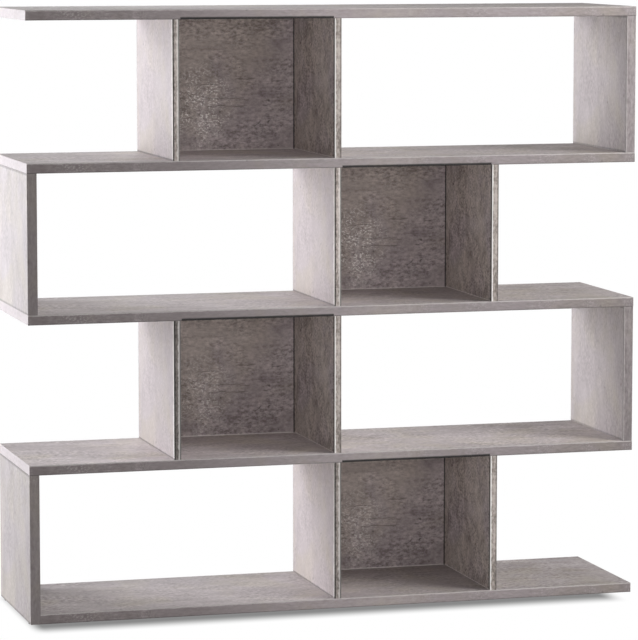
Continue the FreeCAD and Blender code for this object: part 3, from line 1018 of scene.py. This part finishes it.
def studio_air(studio):
    """Even light from all round, white where it shows as background."""
    world = bpy.data.worlds.new("studio_air")
    world.use_nodes = True
    world.node_tree.nodes.clear()
    sheet = Sheet(world.node_tree)
    light = sheet.place("ShaderNodeBackground", {"Color": WHITE, "Strength": studio.ambient})
    white = sheet.place("ShaderNodeBackground", {"Color": WHITE, "Strength": 1.0})
    mixed = sheet.place("ShaderNodeMixShader", {
        0: background_rays(sheet), 1: light.outputs[0], 2: white.outputs[0]})
    sheet.place("ShaderNodeOutputWorld", {"Surface": mixed.outputs[0]})
    return world


def floor_paint():
    """Pale floor. Where it shows as background it is white, less the shade of the bookcase, which is
    lit from behind: full under it, fading to nothing over a reach in front of it and over a soft
    border at its other sides. Seen from below it is clear."""
    pale, paler = (0.86, 0.86, 0.86), (0.9, 0.9, 0.9)
    shade, reach, border, inset = 0.75, 0.11, 0.03, 0.06
    cloud_scale = 3.0
    low, high = cad_box
    material, sheet = blank_material("pale_floor")
    place = sheet.place("ShaderNodeTexCoord").outputs["Object"]
    color = sheet.blend(sheet.noise(place, cloud_scale), opaque(pale), opaque(paler))
    lit = sheet.place("ShaderNodeBsdfDiffuse", {"Color": color})
    right, back, _ = sheet.place("ShaderNodeSeparateXYZ", {0: place}).outputs
    bounds = (
        sheet.step(back, low[1] - reach, low[1]),
        sheet.step(back, high[1] - border, high[1] + border, 1.0, 0.0),
        sheet.step(right, low[0] - border / 2, low[0] + border),
        sheet.step(right, high[0] - inset - border, high[0] - inset + border, 1.0, 0.0))
    shaded = shade
    for bound in bounds:
        shaded = sheet.math("MULTIPLY", bound, shaded)
    glow = sheet.place("ShaderNodeEmission", {
        "Color": WHITE, "Strength": sheet.math("SUBTRACT", 1.0, shaded)})
    top = sheet.place("ShaderNodeMixShader", {
        0: background_rays(sheet), 1: lit.outputs[0], 2: glow.outputs[0]})
    below = sheet.place("ShaderNodeNewGeometry").outputs["Backfacing"]
    clear = sheet.place("ShaderNodeBsdfTransparent")
    mixed = sheet.place("ShaderNodeMixShader", {0: below, 1: top.outputs[0], 2: clear.outputs[0]})
    sheet.place("ShaderNodeOutputMaterial", {"Surface": mixed.outputs[0]})
    return material


def add_floor(radius):
    """Flat round floor: a ring of points at the radius, as one face."""
    sides = 64
    angle = np.linspace(0.0, 2 * np.pi, sides, endpoint=False)
    points = np.stack([radius * np.cos(angle), radius * np.sin(angle), np.zeros_like(angle)], axis=-1)
    mesh = bpy.data.meshes.new("floor")
    mesh.from_pydata(points.tolist(), [], [list(range(len(points)))])
    mesh.materials.append(floor_paint())
    floor = add_object("floor", mesh)


def add_lamp(lamp, power):
    """A lamp turned to what it faces and hidden from the camera."""
    light = bpy.data.lights.new(lamp.name, "AREA")
    light.shape = "RECTANGLE"
    light.size = lamp.width
    light.size_y = lamp.height
    light.energy = power
    light.color = lamp.color
    holder = add_object(lamp.name, light)
    holder.location = lamp.place
    facing = Vector(lamp.aim) - Vector(lamp.place)
    holder.rotation_euler = facing.to_track_quat("-Z", "Y").to_euler()
    holder.visible_camera = False


def add_camera(studio):
    """Camera at the viewing angle: level, turned by the yaw, then dipped."""
    far_limit = 200.0
    camera = bpy.data.cameras.new("camera")
    camera.lens = studio.camera_lens
    camera.clip_end = far_limit
    holder = add_object("camera", camera)
    holder.location = studio.camera_place
    holder.rotation_euler = (QUARTER_TURN - studio.camera_dip, 0.0, -studio.camera_yaw)
    bpy.context.scene.camera = holder


# Operators

class BOOKCASE_OT_shelves(bpy.types.Operator):
    """Print the shelves and their edging"""

    bl_idname = "bookcase.shelves"
    bl_label = "Shelves"

    def execute(self, context):
        colors = context.scene.bookcase_laminate
        dress_boards(SHELVES, SHELF_PRINT, SHELF_EDGE_PRINT, colors)
        for shelf in SHELVES:
            end_print = laminate(
                shelf + "_end_print", shelf, SHELF_END_PRINT, SHELF_END_PRINT.tone, colors)
            dress(shelf + "_end_edging", end_print)
        return {"FINISHED"}


class BOOKCASE_OT_end_panels(bpy.types.Operator):
    """Print the end panels and their edging"""

    bl_idname = "bookcase.end_panels"
    bl_label = "End panels"

    def execute(self, context):
        colors = context.scene.bookcase_laminate
        dress_boards(LEFT_ENDS, END_PRINT, LEFT_END_EDGE_PRINT, colors)
        dress_boards(RIGHT_ENDS, RIGHT_END_PRINT, RIGHT_END_EDGE_PRINT, colors)
        return {"FINISHED"}


class BOOKCASE_OT_dividers(bpy.types.Operator):
    """Print the dividers and their edging"""

    bl_idname = "bookcase.dividers"
    bl_label = "Dividers"

    def execute(self, context):
        colors = context.scene.bookcase_laminate
        dress_boards(LIT_DIVIDERS, LIT_PRINT, LIT_EDGE_PRINT, colors)
        dress_boards(CUBE_DIVIDERS, WALL_PRINT, WALL_EDGE_PRINT, colors)
        return {"FINISHED"}


class BOOKCASE_OT_back_panels(bpy.types.Operator):
    """Print the back panels of the cubes"""

    bl_idname = "bookcase.back_panels"
    bl_label = "Back panels"

    def execute(self, context):
        colors = context.scene.bookcase_laminate
        dress_boards(UPPER_BACKS, BACK_PRINT, BACK_PRINT, colors)
        dress_boards(LOWER_BACKS, LOWER_BACK_PRINT, LOWER_BACK_PRINT, colors)
        return {"FINISHED"}


class BOOKCASE_OT_cam_locks(bpy.types.Operator):
    """Finish the cams as cast zinc"""

    bl_idname = "bookcase.cam_locks"
    bl_label = "Cams"

    def execute(self, context):
        dress("cam_locks", metal("cast_zinc", CAST_ZINC))
        return {"FINISHED"}


class BOOKCASE_OT_cam_bolts(bpy.types.Operator):
    """Turn the threaded cam bolts"""

    bl_idname = "bookcase.cam_bolts"
    bl_label = "Cam bolts"

    def execute(self, context):
        boxes = solid_boxes("cam_bolts")
        axes = away_from(boxes, solid_boxes("cam_locks"), lengthwise=True)
        sides = sorted_sides(boxes)
        template = bolt_template(sides[2], sides[1], context.scene.bookcase_fittings)
        material = metal("zinc_plate", ZINC_PLATE)
        add_fittings("threaded_cam_bolts", "cam_bolts", template, boxes, axes, material,
                     BOLT_CREASE)
        return {"FINISHED"}


class BOOKCASE_OT_cover_caps(bpy.types.Operator):
    """Mould the cover caps over the cams"""

    bl_idname = "bookcase.cover_caps"
    bl_label = "Cover caps"

    def execute(self, context):
        boxes = solid_boxes("cover_caps")
        axes = away_from(boxes, solid_boxes("cam_locks"), lengthwise=False)
        sides = sorted_sides(boxes)
        template = cap_template(sides[2], sides[0], context.scene.bookcase_fittings.cap_rim)
        colors = context.scene.bookcase_laminate
        material = laminate("cap_print", "cover_caps", CAP_PRINT, CAP_PRINT.tone, colors)
        add_fittings("domed_cover_caps", "cover_caps", template, boxes, axes, material,
                     CAP_CREASE)
        return {"FINISHED"}


class BOOKCASE_OT_dowels(bpy.types.Operator):
    """Turn the fluted beech dowels"""

    bl_idname = "bookcase.dowels"
    bl_label = "Dowels"

    def execute(self, context):
        material = beech("beech_dowel")
        for node in ("shelf_dowels", "back_panel_dowels"):
            boxes = solid_boxes(node)
            axes = one_axis(boxes[:, 1] - boxes[:, 0])
            sides = sorted_sides(boxes)
            template = dowel_template(sides[2], sides[1], context.scene.bookcase_fittings)
            add_fittings("fluted_" + node, node, template, boxes, axes, material,
                         DOWEL_CREASE)
        return {"FINISHED"}


class BOOKCASE_OT_glides(bpy.types.Operator):
    """Finish the floor glides and their nails"""

    bl_idname = "bookcase.glides"
    bl_label = "Floor glides"

    def execute(self, context):
        plastic = moulded_plastic("glide_plastic", GLIDE_LIGHT, GLIDE_DARK, GLIDE_ROUGHNESS)
        dress("floor_glides", plastic)
        dress("glide_nails", metal("nail_plate", NAIL_PLATE))
        return {"FINISHED"}


class BOOKCASE_OT_stage(bpy.types.Operator):
    """Set the floor, lamps, air and camera"""

    bl_idname = "bookcase.stage"
    bl_label = "Stage"

    def execute(self, context):
        studio = context.scene.bookcase_studio
        add_floor(studio.floor_radius)
        for lamp in LAMPS:
            add_lamp(lamp, getattr(studio, lamp.power))
        context.scene.world = studio_air(studio)
        add_camera(studio)
        context.scene.view_settings.view_transform = "Standard"
        return {"FINISHED"}


OPERATORS = (
    BOOKCASE_OT_shelves,
    BOOKCASE_OT_end_panels,
    BOOKCASE_OT_dividers,
    BOOKCASE_OT_back_panels,
    BOOKCASE_OT_cam_locks,
    BOOKCASE_OT_cam_bolts,
    BOOKCASE_OT_cover_caps,
    BOOKCASE_OT_dowels,
    BOOKCASE_OT_glides,
    BOOKCASE_OT_stage,
)
SETTINGS = {
    "bookcase_laminate": LaminateSettings,
    "bookcase_fittings": FittingSettings,
    "bookcase_studio": StudioSettings,
}


class BOOKCASE_PT_sidebar(bpy.types.Panel):
    """Lists the bookcase's settings and the steps that dress it"""

    bl_idname = "BOOKCASE_PT_sidebar"
    bl_label = "Modular Bookcase"
    bl_space_type = "VIEW_3D"
    bl_region_type = "UI"
    bl_category = "Bookcase"

    def draw(self, context):
        for operator in OPERATORS:
            self.layout.operator(operator.bl_idname)
        for name, kind in SETTINGS.items():
            column = self.layout.column(heading=kind.__doc__)
            for label in kind.__annotations__:
                column.prop(getattr(context.scene, name), label)


CLASSES = (*SETTINGS.values(), *OPERATORS, BOOKCASE_PT_sidebar)


def register():
    """Registers the classes and gives the scene their settings."""
    for kind in CLASSES:
        bpy.utils.register_class(kind)
    for name, kind in SETTINGS.items():
        setattr(bpy.types.Scene, name, PointerProperty(type=kind))


def unregister():
    """Takes away what register gave."""
    for name in SETTINGS:
        delattr(bpy.types.Scene, name)
    for kind in reversed(CLASSES):
        bpy.utils.unregister_class(kind)


def main():
    """Registers the classes, runs the operators in order and writes the boxes of both models."""
    register()
    for operator in OPERATORS:
        family, step = operator.bl_idname.split(".")
        getattr(getattr(bpy.ops, family), step)()


if __name__ == "__main__":
    main()
